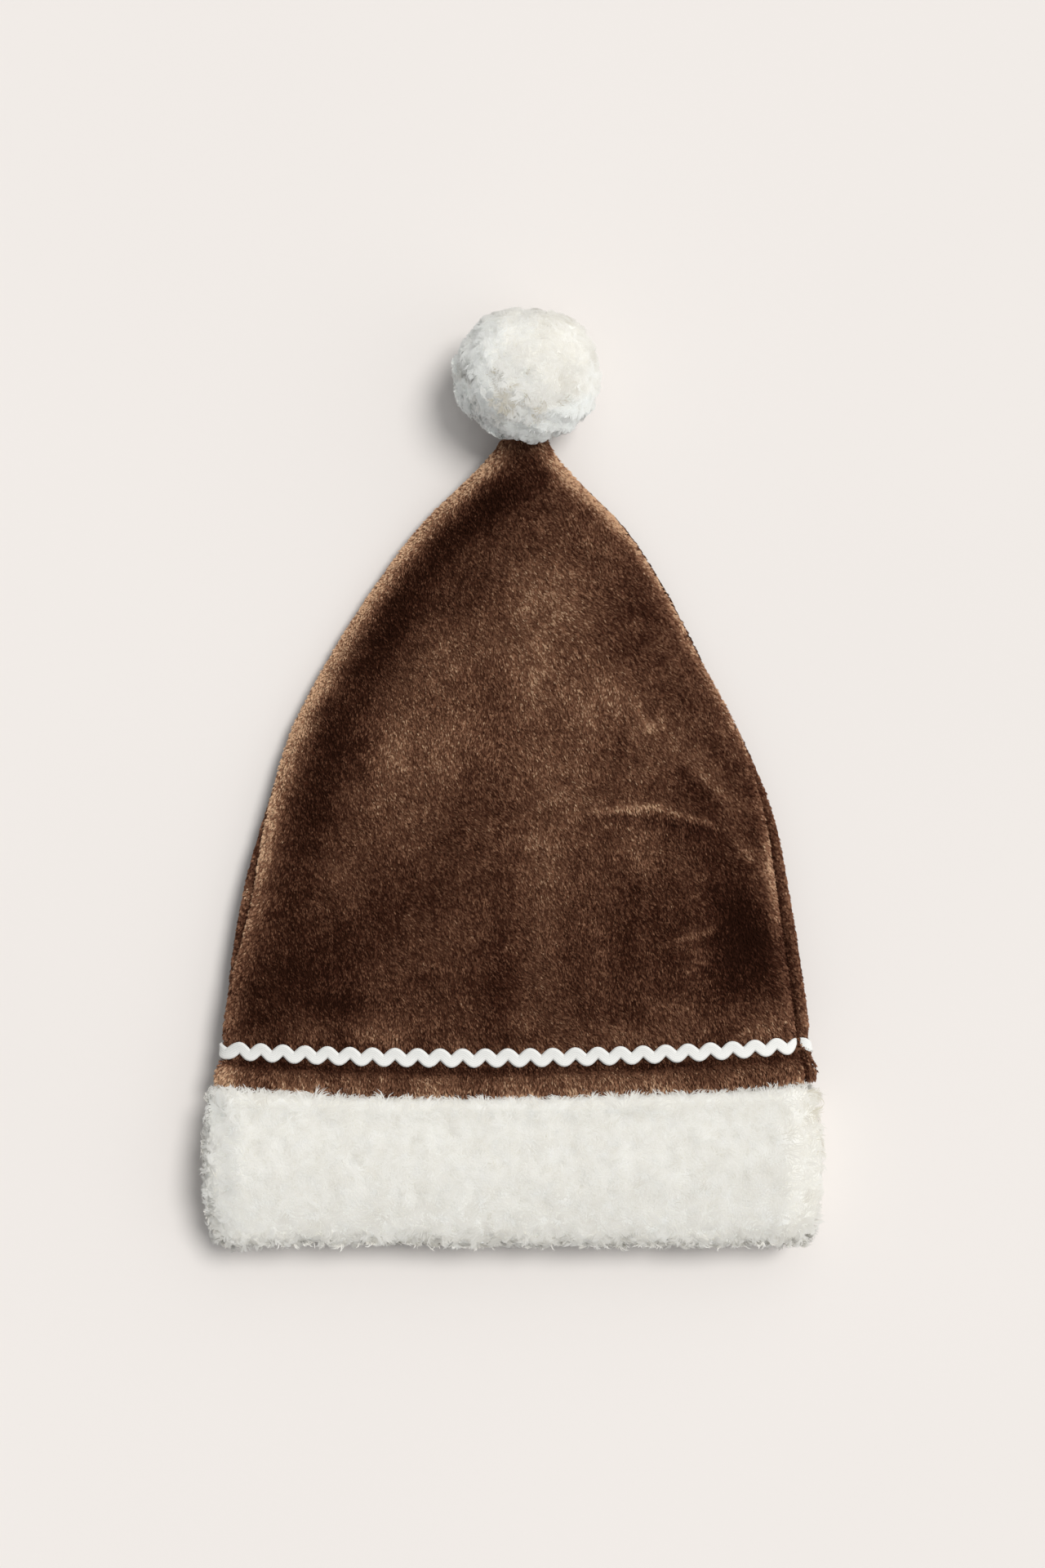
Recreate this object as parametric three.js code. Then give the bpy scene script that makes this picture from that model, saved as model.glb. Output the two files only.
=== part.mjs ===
// A plush santa hat lying flat on a table: a two-panel crown, a padded cuff of curly fleece,
// a wavy braid sewn round the crown above the cuff, and a curly fleece pompom on the tip.
// Millimetres, +Z up. The table is z = 0, the hat's length runs along +Y from the head
// opening to the pompom, and the origin is under the middle of the whole hat.
import * as THREE from "three";
import { mergeVertices } from "three/addons/utils/BufferGeometryUtils.js";

// Driving dimensions
const HAT_LENGTH = 435; // open edge of the cuff to the far side of the pompom
const GAP = 0.4; // left between sewn neighbours
const CLOTH = 2.4; // plush cloth with its short pile

const CUFF_HALF_WIDTH = 143; // at its two ends, before it swells
const CUFF_HEIGHT = 76; // along the hat, at the side seams
const CUFF_STACK = 36; // both walls and the head hollow, lying flat
const CUFF_WALL = 13; // fleece folded double
const CUFF_SWELL = 1.5; // how far the pile stands out halfway up the cuff
const CUFF_MOUTH_TAPER = 3.5; // how much narrower each side is at the open edge

const HEM_BOW = 6; // the hem seam's middle dips this far below its ends
const HEM_TILT = 1.8; // its right end lies this much higher than its middle would, its left end lower
const HEM_BOW_FADE = 120; // the dip and the tilt are gone this far up the crown

const SEAM_PINCH = 1.2; // depth of the valley along a side seam
const SEAM_PINCH_TURN = 12; // half-width of that valley, in degrees round the section
const EDGE_INSET = 8; // centre of the rounded side edge, in from the outline

const BRAID_UP = 16.5; // middle of the braid above the hem seam
const BRAID_TAPE = 5.4; // width of its tape
const BRAID_WAVE = 1.55; // half-height of its wave
const BRAID_PITCH = 10.6; // length of one wave
const BRAID_THICKNESS = 1.2;
const BRAID_LIFT = 0.6; // clearance under the braid
const BRAID_EDGE = { lift: 1, sharpness: 20 }; // it stands off where it bends round the side edges
const BRAID_BED = { depth: 1.6, half: 5.5 }; // channel that its stitches press into the pile
const BRAID_END = 2.2; // the braid stops this far short of each side seam

const POMPOM = { x: 5.5, z: 29.5, halfX: 35, halfY: 32, halfZ: 31 };
const POMPOM_LUMPS = { share: 0.035, closeness: 5.5 }; // how far and how often its form swells and sinks
const POMPOM_NAVEL = { floor: 12, rim: 17 }; // flat dimple that the crown's tip is tied into

const FRONT_ROUND = 1.8; // how round the crown's front is towards its side edges
const BACK_ROUND = 2;
const BACK_FLATTER = 1.6; // the side on the table is this much more square

// Mesh fineness
const CROWN_ROWS = 26;
const FRONT_COLUMNS = 24;
const BACK_COLUMNS = 16;
const BED_ROWS = { count: 5, top: 28 }; // closer rows, from the hem to just past the braid
const ROW_CROWDING = 1.25; // the other rows draw together towards the tip
const CUFF_STEPS = 52;
const CUFF_WALL_STEPS = 16;
const BRAID_STEPS_PER_WAVE = 6;
const POMPOM_STEPS = 20;
const POMPOM_RINGS = 24;

// Sections of the crown, from the hem to the tip. up: distance above the hem's ends. half:
// half-width of the outline. lean: shift of its middle to the right. seam, front, back:
// heights of the side edges, of the front's middle and of the back's middle, which the
// table presses flat below 0. boxy: how square the section is. rollLeft, rollRight:
// how far a side seam has rolled onto the front, in degrees, below 0 where it has rolled under.
const CROWN_SECTIONS = [
  { up: 0, half: 138, lean: 0.5, seam: 18, front: 29, back: 8, boxy: 4.2, rollLeft: -6, rollRight: 11 },
  { up: 25, half: 136.5, lean: 0, seam: 17, front: 31, back: 3, boxy: 3.8, rollLeft: -4, rollRight: 14.5 },
  { up: 86, half: 127.3, lean: 0.5, seam: 13, front: 27, back: -1, boxy: 3.4, rollLeft: 10, rollRight: 13.5 },
  { up: 124, half: 118.9, lean: 1.5, seam: 11, front: 25, back: -1, boxy: 3.2, rollLeft: 2, rollRight: 9.5 },
  { up: 162, half: 105.5, lean: 0.3, seam: 8.5, front: 22.5, back: -1, boxy: 3, rollLeft: -4, rollRight: 3 },
  { up: 200, half: 85.5, lean: 0.3, seam: 6.5, front: 20.5, back: -1, boxy: 2.8, rollLeft: -8, rollRight: 4 },
  { up: 238, half: 62.7, lean: 2.4, seam: 6, front: 19, back: -1, boxy: 2.6, rollLeft: -8, rollRight: 4 },
  { up: 261, half: 45.5, lean: 3.4, seam: 6.5, front: 18.5, back: -0.5, boxy: 2.4, rollLeft: -8, rollRight: 6 },
  { up: 276, half: 30, lean: 3.6, seam: 8, front: 18.5, back: 1, boxy: 2.3, rollLeft: -8, rollRight: 6 },
  { up: 291, half: 15.5, lean: 4.2, seam: 12.5, front: 20, back: 5.5, boxy: 2.2, rollLeft: -6, rollRight: 4 },
  { up: 302, half: 9, lean: 5, seam: 16.5, front: 22, back: 11, boxy: 2, rollLeft: 0, rollRight: 0 },
];
const SECTION_COLUMNS = ["half", "lean", "seam", "front", "back", "boxy", "rollLeft", "rollRight"];

// Dents and folds of the crown's front. x, y: middle. turn: direction, in degrees from +X.
// long, wide: extent. rise: height of the ridge, negative for a dent.
const FOLDS = [
  { name: "left_trough", x: -62, y: 50, turn: 61, long: 190, wide: 30, rise: -2.5 },
  { name: "middle_swell", x: -10, y: 40, turn: 60, long: 150, wide: 70, rise: 1.8 },
  { name: "cross_crease", x: 62, y: -15, turn: -6, long: 70, wide: 12, rise: 2.2 },
  { name: "crease_hollow", x: 66, y: -27, turn: -6, long: 62, wide: 18, rise: -1.6 },
  { name: "right_dent", x: 101, y: -58, turn: 97, long: 100, wide: 22, rise: -3 },
  { name: "upper_right_dent", x: 72, y: 22, turn: -52, long: 60, wide: 16, rise: -1.8 },
  { name: "upper_right_ridge", x: 58, y: 34, turn: -52, long: 46, wide: 14, rise: 1.4 },
  { name: "low_right_ridge", x: 86, y: -80, turn: 20, long: 44, wide: 14, rise: 1.4 },
  { name: "low_middle_fold", x: 6, y: -72, turn: 88, long: 90, wide: 18, rise: -1.4 },
  { name: "tip_dent", x: 22, y: 112, turn: -50, long: 44, wide: 14, rise: -1.2 },
];

const MOUTH_Y = -HAT_LENGTH / 2;
const HEM_Y = MOUTH_Y + CUFF_HEIGHT;
const CROWN_TIP = CROWN_SECTIONS.at(-1);
const CROWN_HEIGHT = CROWN_TIP.up;
const POMPOM_Y = HAT_LENGTH / 2 - POMPOM.halfY;

const { clamp, degToRad, lerp, smoothstep } = THREE.MathUtils;

const sectionCurve = new THREE.CubicInterpolant(
  CROWN_SECTIONS.map((row) => row.up),
  new Float32Array(CROWN_SECTIONS.flatMap((row) => SECTION_COLUMNS.map((column) => row[column]))),
  SECTION_COLUMNS.length,
);

// The crown's section at a height above the hem, between the rows of the table.
function sectionAt(up) {
  const values = sectionCurve.evaluate(clamp(up, 0, CROWN_HEIGHT));
  return Object.fromEntries(SECTION_COLUMNS.map((column, i) => [column, values[i]]));
}

// Height that the dents and folds add at a place on the crown's front.
function foldRise(x, y) {
  return FOLDS.reduce((sum, fold) => {
    const turn = degToRad(fold.turn);
    const dx = x - fold.x;
    const dy = y - fold.y;
    const along = (dx * Math.cos(turn) + dy * Math.sin(turn)) / (fold.long / 2);
    const across = (dy * Math.cos(turn) - dx * Math.sin(turn)) / (fold.wide / 2);
    return sum + fold.rise * Math.exp(-(across ** 2) - along ** 4);
  }, 0);
}

// Line of the hem seam along the hat: it dips towards the middle of the width and rises to the right.
function hemDip(share) {
  return HEM_BOW * (1 - share ** 2) - HEM_TILT * share;
}

// Closed geometry whose every corner is carried to its place by a function.
function carried(geometry, place) {
  const corners = geometry.getAttribute("position");
  const corner = new THREE.Vector3();
  for (let i = 0; i < corners.count; i++) {
    place(corner.fromBufferAttribute(corners, i));
    corners.setXYZ(i, corner.x, corner.y, corner.z);
  }
  geometry.deleteAttribute("normal");
  geometry.deleteAttribute("uv");
  const welded = mergeVertices(geometry);
  welded.computeVertexNormals();
  return welded;
}

// A slab bent into a wall. place gets u from -1 to 1, v from 0 to 1, and through, which is
// 0 on the hidden face and 1 on the face that shows.
function bentSlab(columns, rows, place) {
  const slab = new THREE.BoxGeometry(2, 1, 1, columns, rows, 1);
  slab.translate(0, 0.5, 0.5);
  return carried(slab, (corner) => place(corner, corner.x, corner.y, corner.z));
}

// Outer skin of the crown. angle runs round the section: -90 degrees at the left edge, 0 on
// the middle of the front, 90 at the right edge and 180 on the middle of the back. depth is
// measured in from the skin, towards the line between the two rounded edges.
function crownPoint(target, angle, up, depth = 0) {
  const section = sectionAt(up);
  const side = Math.sin(angle);
  const onFront = Math.cos(angle) > 0;
  const squareness = onFront ? section.boxy : section.boxy * BACK_FLATTER;
  const roundness = onFront ? FRONT_ROUND : BACK_ROUND;
  const fullness = Math.max(0, 1 - Math.abs(side) ** squareness) ** (1 / roundness);
  const fade = Math.max(0, 1 - up / HEM_BOW_FADE) ** 2;
  const x = section.lean + section.half * side;
  const y = HEM_Y + GAP + up - hemDip(side) * fade;
  const back = Math.max(0, section.seam - (section.seam - section.back) * fullness);
  const front = section.seam + (section.front - section.seam) * fullness + foldRise(x, y) * fullness ** 2;
  target.set(x, y, onFront ? front : back);

  const reach = section.half - Math.min(EDGE_INSET, section.half / 2);
  const core = new THREE.Vector3(clamp(x, section.lean - reach, section.lean + reach), y, section.seam);
  const inward = core.sub(target);
  const room = inward.length() - GAP;
  const seams = [-Math.PI / 2 + degToRad(section.rollLeft), Math.PI / 2 - degToRad(section.rollRight)];
  const turnFrom = (seam) => Math.atan2(Math.sin(angle - seam), Math.cos(angle - seam));
  const pinch = seams.reduce((sum, seam) => {
    return sum + SEAM_PINCH * Math.exp(-((turnFrom(seam) / degToRad(SEAM_PINCH_TURN)) ** 2));
  }, 0);
  const bed = BRAID_BED.depth * Math.exp(-(((up - BRAID_UP) / BRAID_BED.half) ** 2));
  return target.addScaledVector(inward.normalize(), Math.min(depth + pinch + bed, room));
}

// Angle round the section of a panel's edge: a side seam, less half the gap between panels.
function panelEnd(seamAngle, up, towards) {
  const step = 0.01;
  const before = crownPoint(new THREE.Vector3(), seamAngle - step, up);
  const after = crownPoint(new THREE.Vector3(), seamAngle + step, up);
  const millimetresPerRadian = before.distanceTo(after) / (2 * step);
  return seamAngle + (towards * GAP) / millimetresPerRadian;
}

// First and last angle of the front panel or the back panel at a height above the hem.
function panelSpan(isFront, up) {
  const section = sectionAt(up);
  const left = -Math.PI / 2 + degToRad(section.rollLeft);
  const right = Math.PI / 2 - degToRad(section.rollRight);
  return isFront
    ? [panelEnd(left, up, 0.5), panelEnd(right, up, -0.5)]
    : [panelEnd(right, up, 0.5), panelEnd(left + 2 * Math.PI, up, -0.5)];
}

// Height above the hem of a row of the crown's mesh.
function rowHeight(row) {
  if (row <= BED_ROWS.count) return (BED_ROWS.top * row) / BED_ROWS.count;
  const left = (CROWN_ROWS - row) / (CROWN_ROWS - BED_ROWS.count);
  return lerp(CROWN_HEIGHT, BED_ROWS.top, left ** ROW_CROWDING);
}

function crownPanel(isFront, columns) {
  return bentSlab(columns, CROWN_ROWS, (corner, u, v, through) => {
    const up = rowHeight(Math.round(v * CROWN_ROWS));
    const [first, last] = panelSpan(isFront, up);
    crownPoint(corner, lerp(first, last, (u + 1) / 2), up, CLOTH * (1 - through));
  });
}

// One row of a crown panel as a curve, so that lengths can be stepped off along it.
class PanelRow extends THREE.Curve {
  constructor(isFront, up) {
    super();
    this.up = up;
    this.span = panelSpan(isFront, up);
  }

  angleAt(t) {
    return lerp(this.span[0], this.span[1], t);
  }

  getPoint(t, target = new THREE.Vector3()) {
    return crownPoint(target, this.angleAt(t), this.up);
  }
}

// Wavy braid laid on a crown panel, parallel to the hem, from one side seam to the other.
function braid(isFront) {
  const row = new PanelRow(isFront, BRAID_UP);
  const rowLength = row.getLength();
  const length = rowLength - 2 * BRAID_END;
  const waves = Math.round(length / BRAID_PITCH);
  const waveNumber = (2 * Math.PI * waves) / length;
  return bentSlab(waves * BRAID_STEPS_PER_WAVE, 1, (corner, u, v, through) => {
    const run = ((u + 1) / 2) * length;
    const across = (v - 0.5) * BRAID_TAPE;
    const slope = -BRAID_WAVE * waveNumber * Math.sin(waveNumber * run);
    const stretch = Math.hypot(1, slope);
    const along = clamp((BRAID_END + run - (across * slope) / stretch) / rowLength, 0, 1);
    const up = BRAID_UP + BRAID_WAVE * Math.cos(waveNumber * run) + across / stretch;
    const angle = row.angleAt(row.getUtoTmapping(along));
    const clearance = BRAID_LIFT + BRAID_EDGE.lift * Math.abs(Math.sin(angle)) ** BRAID_EDGE.sharpness;
    crownPoint(corner, angle, up, -clearance - BRAID_THICKNESS * through);
  });
}

// Half-thickness of a bar with fully rounded ends, at a place along it.
function roundedBar(along, halfLength, radius) {
  const intoEnd = clamp((Math.abs(along) - (halfLength - radius)) / radius, 0, 1);
  return radius * Math.sqrt(1 - intoEnd ** 2);
}

// Padded cuff: a ring of folded fleece, pressed flat, with the head opening through it. The
// ring's own two angles are carried to a place round the hat and a place round the wall.
function cuff() {
  const ringRadius = 2;
  const ring = new THREE.TorusGeometry(ringRadius, 1, CUFF_WALL_STEPS, CUFF_STEPS);
  const halfStack = CUFF_STACK / 2;
  return carried(ring, (corner) => {
    const side = Math.sin(Math.atan2(corner.y, corner.x));
    const facing = Math.sign(corner.x) || 1;
    const wallAngle = Math.atan2(corner.z, Math.hypot(corner.x, corner.y) - ringRadius);
    const heightShare = (Math.sin(wallAngle) + 1) / 2;

    const half = CUFF_HALF_WIDTH - CUFF_MOUTH_TAPER * (1 - heightShare) ** 2;
    const x = half * side;
    const outer = new THREE.Vector3(x, 0, halfStack + facing * roundedBar(x, half, halfStack));
    const reach = half - halfStack;
    const inward = new THREE.Vector3(clamp(x, -reach, reach), 0, halfStack).sub(outer).normalize();

    const alongWall = (Math.sin(wallAngle) * CUFF_HEIGHT) / 2;
    const halfWall = Math.sign(Math.cos(wallAngle)) * roundedBar(alongWall, CUFF_HEIGHT / 2, CUFF_WALL / 2);
    const swell = halfWall > 0 ? CUFF_SWELL * 4 * heightShare * (1 - heightShare) : 0;
    corner.copy(outer).addScaledVector(inward, CUFF_WALL / 2 - halfWall - swell);
    corner.y = lerp(MOUTH_Y, HEM_Y - hemDip(side), heightShare);
    corner.z = Math.max(0, corner.z);
  });
}

// Pompom: a lumpy fleece ball, pressed flat where it lies, with a dimple for the crown's tip.
function pompom() {
  const ball = new THREE.SphereGeometry(1, POMPOM_STEPS, POMPOM_RINGS);
  return carried(ball, (corner) => {
    const { x, y, z } = corner;
    const waves = [x + y, y + z, z + x].map((way) => Math.sin(POMPOM_LUMPS.closeness * way));
    const lump = 1 + POMPOM_LUMPS.share * waves[0] * waves[1] * waves[2];
    corner.set(
      POMPOM.x + x * POMPOM.halfX * lump,
      POMPOM_Y + y * POMPOM.halfY * (y > 0 ? 1 : lump),
      Math.max(0, POMPOM.z + z * POMPOM.halfZ * lump),
    );
    const fromTip = Math.hypot(corner.x - CROWN_TIP.lean, corner.z - CROWN_TIP.seam);
    const dimple = 1 - smoothstep(fromTip, POMPOM_NAVEL.floor, POMPOM_NAVEL.rim);
    if (y < 0) corner.y = lerp(corner.y, HEM_Y + CROWN_HEIGHT + 2 * GAP, dimple);
  });
}

const plush = new THREE.MeshStandardMaterial({ color: 0x5c3e2e, roughness: 0.85, metalness: 0 });
const fleece = new THREE.MeshStandardMaterial({ color: 0xeeece5, roughness: 0.95, metalness: 0 });
const wovenBraid = new THREE.MeshStandardMaterial({ color: 0xf2f1ec, roughness: 0.8, metalness: 0 });

const PIECES = [
  { name: "crown_front", geometry: crownPanel(true, FRONT_COLUMNS), material: plush },
  { name: "crown_back", geometry: crownPanel(false, BACK_COLUMNS), material: plush },
  { name: "cuff", geometry: cuff(), material: fleece },
  { name: "braid_front", geometry: braid(true), material: wovenBraid },
  { name: "braid_back", geometry: braid(false), material: wovenBraid },
  { name: "pompom", geometry: pompom(), material: fleece },
];

const hat = new THREE.Group();
for (const { name, geometry, material } of PIECES) {
  const mesh = new THREE.Mesh(geometry, material);
  mesh.name = name;
  hat.add(mesh);
}

export default hat;
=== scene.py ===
# %% [markdown]
# # A plush santa hat, laid flat
#
# The real hat is a soft cone of short brown plush with a padded ring of white curly
# fleece, a wavy white braid above it and a fleece ball on the tip. It lies on its back
# on a pale table, seen from straight above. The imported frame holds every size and
# place; this lesson dresses it with cloth, pile, fleece and braid.

import math

import bpy
import numpy as np
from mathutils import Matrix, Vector
from mathutils.bvhtree import BVHTree
from mathutils.kdtree import KDTree


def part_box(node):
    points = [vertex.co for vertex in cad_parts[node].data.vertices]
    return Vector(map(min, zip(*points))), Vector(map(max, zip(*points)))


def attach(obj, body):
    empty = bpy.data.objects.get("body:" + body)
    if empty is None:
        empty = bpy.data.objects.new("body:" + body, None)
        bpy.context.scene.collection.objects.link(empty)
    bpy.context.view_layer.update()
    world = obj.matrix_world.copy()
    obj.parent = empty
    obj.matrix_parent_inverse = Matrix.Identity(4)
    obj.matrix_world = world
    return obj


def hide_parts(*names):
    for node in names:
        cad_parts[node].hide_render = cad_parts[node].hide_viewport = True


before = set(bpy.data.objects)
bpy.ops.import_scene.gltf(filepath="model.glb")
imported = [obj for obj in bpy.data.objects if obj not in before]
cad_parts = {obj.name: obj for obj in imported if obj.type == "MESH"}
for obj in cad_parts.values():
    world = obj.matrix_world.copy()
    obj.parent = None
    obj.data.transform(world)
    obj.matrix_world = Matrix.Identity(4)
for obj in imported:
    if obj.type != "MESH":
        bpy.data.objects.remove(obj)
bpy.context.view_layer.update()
scene = bpy.context.scene
MM = 0.001


def placed(name, data):
    """Puts a camera, a lamp or a mesh into the scene."""
    made = bpy.data.objects.new(name, data)
    scene.collection.objects.link(made)
    return made


for node in sorted(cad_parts):
    low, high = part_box(node)
    print(node, [round(side / MM, 1) for side in high - low], "mm")

# %% [markdown]
# ## The camera
#
# The picture looks straight down at the hat from well above. A long lens far away keeps
# the sides parallel, as a product photograph does. One picture dot covers 0.38 mm of the
# table, and that number with the distance gives the lens.

# %% Camera
PICTURE_HIGH = 1920
MM_A_DOT = 0.38
CAMERA_UP = 1.8
PICTURE_MIDDLE = (0.0036, -0.0027)
HAT_MIDDLE_UP = 0.015
camera_data = bpy.data.cameras.new("camera")
camera_data.lens = camera_data.sensor_width * CAMERA_UP / (PICTURE_HIGH * MM_A_DOT * MM)
camera = placed("camera", camera_data)
camera.location = (*PICTURE_MIDDLE, CAMERA_UP + HAT_MIDDLE_UP)
scene.camera = camera
print("lens", round(camera_data.lens, 1), "mm")

# %% [markdown]
# ## The light
#
# A lamp stands at the upper right and well up, so the shadows fall to the lower left. A sun
# lamp with a wide disc does the same as a big lamp box far away: it lights the whole table
# evenly and blurs the shadows' edges. A second, much wider lamp on the same side is half of
# the fill light, and keeps the table clean beside the hat's right edge. The world is the
# other half.

# %% Soft key light and fill
KEY_FROM = Vector((0.40, 0.31, 0.86))
FILL_FROM = Vector((0.66, 0.33, 0.67))


def sun(name, way, energy, spread, tint=(1.0, 1.0, 1.0)):
    """A far lamp that shines from a way, with a disc of spread degrees."""
    data = bpy.data.lights.new(name, "SUN")
    data.energy = energy
    data.angle = math.radians(spread)
    data.color = tint
    lamp = placed(name, data)
    lamp.rotation_euler = way.to_track_quat("Z", "Y").to_euler()
    return lamp


key = sun("soft_key", KEY_FROM, energy=2.19, spread=24, tint=(1.0, 0.99, 0.975))
broad = sun("broad_fill", FILL_FROM, energy=1.15, spread=110)

world = bpy.data.worlds.new("fill_light")
scene.world = world
world.use_nodes = True
sky = world.node_tree.nodes["Background"]
sky.inputs["Color"].default_value = (0.97, 0.985, 1.0, 1.0)
sky.inputs["Strength"].default_value = 0.27
scene.view_settings.view_transform = "Standard"
print("key", round(key.data.energy, 2), "broad fill", round(broad.data.energy, 2))

# %% [markdown]
# ## Helpers for materials
#
# Every finish here is a Principled shader fed by procedural nodes. A few short helpers
# keep the node code readable. One turns the colours as they are seen on a screen into the
# linear numbers that Blender wants, one adds a node and sets its values, and the others add
# what several finishes share, such as noise, a map's numbers or a fine relief.


# %% Material helpers
def seen(red, green, blue):
    """A colour as seen on a screen, 0 to 255, as Blender's linear numbers."""
    shares = [part / 255 for part in (red, green, blue)]
    linear = [s / 12.92 if s <= 0.04045 else ((s + 0.055) / 1.055) ** 2.4 for s in shares]
    return (*linear, 1.0)


def socket_title(name):
    """A shader socket's title from a plain name, such as sheen_weight."""
    return name.replace("_", " ").title().replace("Ior", "IOR")


class Finish:
    """A material with its Principled shader, and a short way to add nodes to it."""

    def __init__(self, name):
        self.material = bpy.data.materials.new(name)
        self.material.use_nodes = True
        self.tree = self.material.node_tree
        self.shader = self.tree.nodes["Principled BSDF"]

    def node(self, kind, *feeds, **values):
        """Adds a node. feeds link its first inputs in turn, values set inputs or settings."""
        made = self.tree.nodes.new("ShaderNode" + kind)
        for name, value in values.items():
            title = socket_title(name)
            if title in made.inputs:
                made.inputs[title].default_value = value
            else:
                setattr(made, name, value)
        for i, feed in enumerate(feeds):
            if feed is not None:
                self.tree.links.new(feed, made.inputs[i])
        return made

    def ramp(self, feed, *stops):
        """A colour ramp over the feed; each stop is a place and a colour."""
        made = self.node("ValToRGB", feed)
        band = made.color_ramp.elements
        band[0].position, band[0].color = stops[0]
        band[1].position, band[1].color = stops[-1]
        for place, colour in stops[1:-1]:
            band.new(place).color = colour
        return made.outputs["Color"]

    def mapped(self, feed, low, high):
        """The feed, which runs from 0 to 1, carried to low..high."""
        return self.node("MapRange", feed, to_min=low, to_max=high).outputs["Result"]

    def multiplied(self, first, second):
        """Two colours multiplied."""
        made = self.node("Mix", data_type="RGBA", blend_type="MULTIPLY")
        made.inputs["Factor"].default_value = 1.0
        self.tree.links.new(first, made.inputs[6])
        self.tree.links.new(second, made.inputs[7])
        return made.outputs[2]

    def places(self):
        """Places on the piece itself, in metres."""
        return self.node("TexCoord").outputs["Object"]

    def noise(self, place, scale, detail):
        """Cloudy noise at the places."""
        return self.node("TexNoise", place, scale=scale, detail=detail).outputs["Fac"]

    def map_parts(self, name):
        """The two numbers of a UV map, each on its own."""
        parts = self.node("SeparateXYZ", self.node("UVMap", uv_map=name).outputs["UV"])
        return parts.outputs["X"], parts.outputs["Y"]

    def to_shader(self, socket, feed):
        self.tree.links.new(feed, self.shader.inputs[socket])

    def grained(self, colour, grain, rough, relief, strength, distance):
        """Feeds the shader with a colour, a roughness that follows a grain, and a fine relief."""
        self.to_shader("Base Color", colour)
        self.to_shader("Roughness", self.mapped(grain, *rough))
        bump = self.node("Bump", strength=strength, distance=distance)
        self.tree.links.new(relief, bump.inputs["Height"])
        self.to_shader("Normal", bump.outputs["Normal"])

    def set(self, **values):
        for name, value in values.items():
            self.shader.inputs[socket_title(name)].default_value = value

    def lit_through(self, colour, share):
        """Lets light through from behind, as thin fibres do, in a share of the surface."""
        behind = self.node("BsdfTranslucent", colour)
        both = self.node("MixShader", None, self.shader.outputs[0], behind.outputs[0])
        both.inputs[0].default_value = share
        self.tree.links.new(both.outputs[0], self.tree.nodes["Material Output"].inputs["Surface"])


print("mid grey as Blender counts it", round(seen(128, 128, 128)[0], 3))

# %% [markdown]
# ## The table
#
# The hat lies on a plain pale table. A wide plane with a faint painted grain is enough,
# and it is not attached to the hat.

# %% Pale table
table_finish = Finish("pale_table")
spot = table_finish.places()
grain = table_finish.noise(spot, 900.0, 3.0)
cloud = table_finish.noise(spot, 2.5, 2.0)
pale = table_finish.ramp(cloud, (0.3, seen(229, 224, 220)), (0.7, seen(231, 226, 222)))
table_finish.grained(pale, grain, (0.75, 0.9), grain, strength=0.03, distance=0.0002)
table_finish.set(specular_ior_level=0.1)

table_mesh = bpy.data.meshes.new("table")
REACH = 12.0
table_mesh.from_pydata(
    [(-REACH, -REACH, 0), (REACH, -REACH, 0), (REACH, REACH, 0), (-REACH, REACH, 0)], [], [(0, 1, 2, 3)]
)
table_mesh.materials.append(table_finish.material)
table = placed("table", table_mesh)
print("table", 2 * REACH, "m square")

# %% [markdown]
# ## Helpers for meshes
#
# Pile and fleece are tens of thousands of small blades. Blender can take them as plain
# number arrays, which is quick, so all pieces here are made from arrays with numpy. A
# piece is worked out in millimetres and turned into metres when its mesh is made. Each
# fibre gets two numbers on a UV map: its own tone, and how far along the fibre a corner is.


# %% Mesh from arrays
FIBRE_MAP = "OFBake"
FIBRE_GAP = 0.05


def new_piece(name, points, faces, finish, uv, uv_name=FIBRE_MAP, normals=None):
    """A smooth mesh from arrays of points in mm and faces of one size; it rides on the hat."""
    mesh = bpy.data.meshes.new(name)
    corners = faces.shape[1]
    mesh.vertices.add(len(points))
    mesh.vertices.foreach_set("co", (np.asarray(points) * MM).astype(np.float32).ravel())
    mesh.loops.add(faces.size)
    mesh.loops.foreach_set("vertex_index", faces.astype(np.int32).ravel())
    mesh.polygons.add(len(faces))
    mesh.polygons.foreach_set("loop_start", np.arange(0, faces.size, corners, dtype=np.int32))
    mesh.polygons.foreach_set("use_smooth", np.ones(len(faces), dtype=bool))
    mesh.update(calc_edges=True)
    layer = mesh.uv_layers.new(name=uv_name)
    layer.uv.foreach_set("vector", uv[faces.ravel()].astype(np.float32).ravel())
    if normals is not None:
        mesh.normals_split_custom_set_from_vertices(normals)
    mesh.materials.append(finish.material)
    piece = placed(name, mesh)
    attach(piece, "root")
    print(name, len(faces) * (corners - 2), "triangles")
    return piece


def unit(vectors):
    """Vectors of length one."""
    return vectors / np.maximum(np.linalg.norm(vectors, axis=-1, keepdims=True), 1e-9)


def laid_on(ways, normal):
    """Ways turned to lie on a surface, of length one."""
    return unit(ways - normal * (ways * normal).sum(-1, keepdims=True))


def swung(first, second, angle):
    """The first ways turned towards the second by an angle."""
    return first * np.cos(angle)[:, None] + second * np.sin(angle)[:, None]


def off_the_table(points, gap):
    """Keeps points a small gap above the table."""
    points[..., 2] = np.maximum(points[..., 2], gap)


def grid_faces(rows, columns, first=0, closed=(False, False)):
    """Squares of a grid of points, counted from a first point; closed joins its ends each way."""
    row, column = np.meshgrid(
        np.arange(rows - 1 + closed[0]), np.arange(columns - 1 + closed[1]), indexing="ij"
    )
    this_row = first + row * columns
    next_row = first + (row + 1) % rows * columns
    beside = (column + 1) % columns
    corners = [this_row + column, this_row + beside, next_row + beside, next_row + column]
    return np.stack([corner.ravel() for corner in corners], axis=1)


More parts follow.
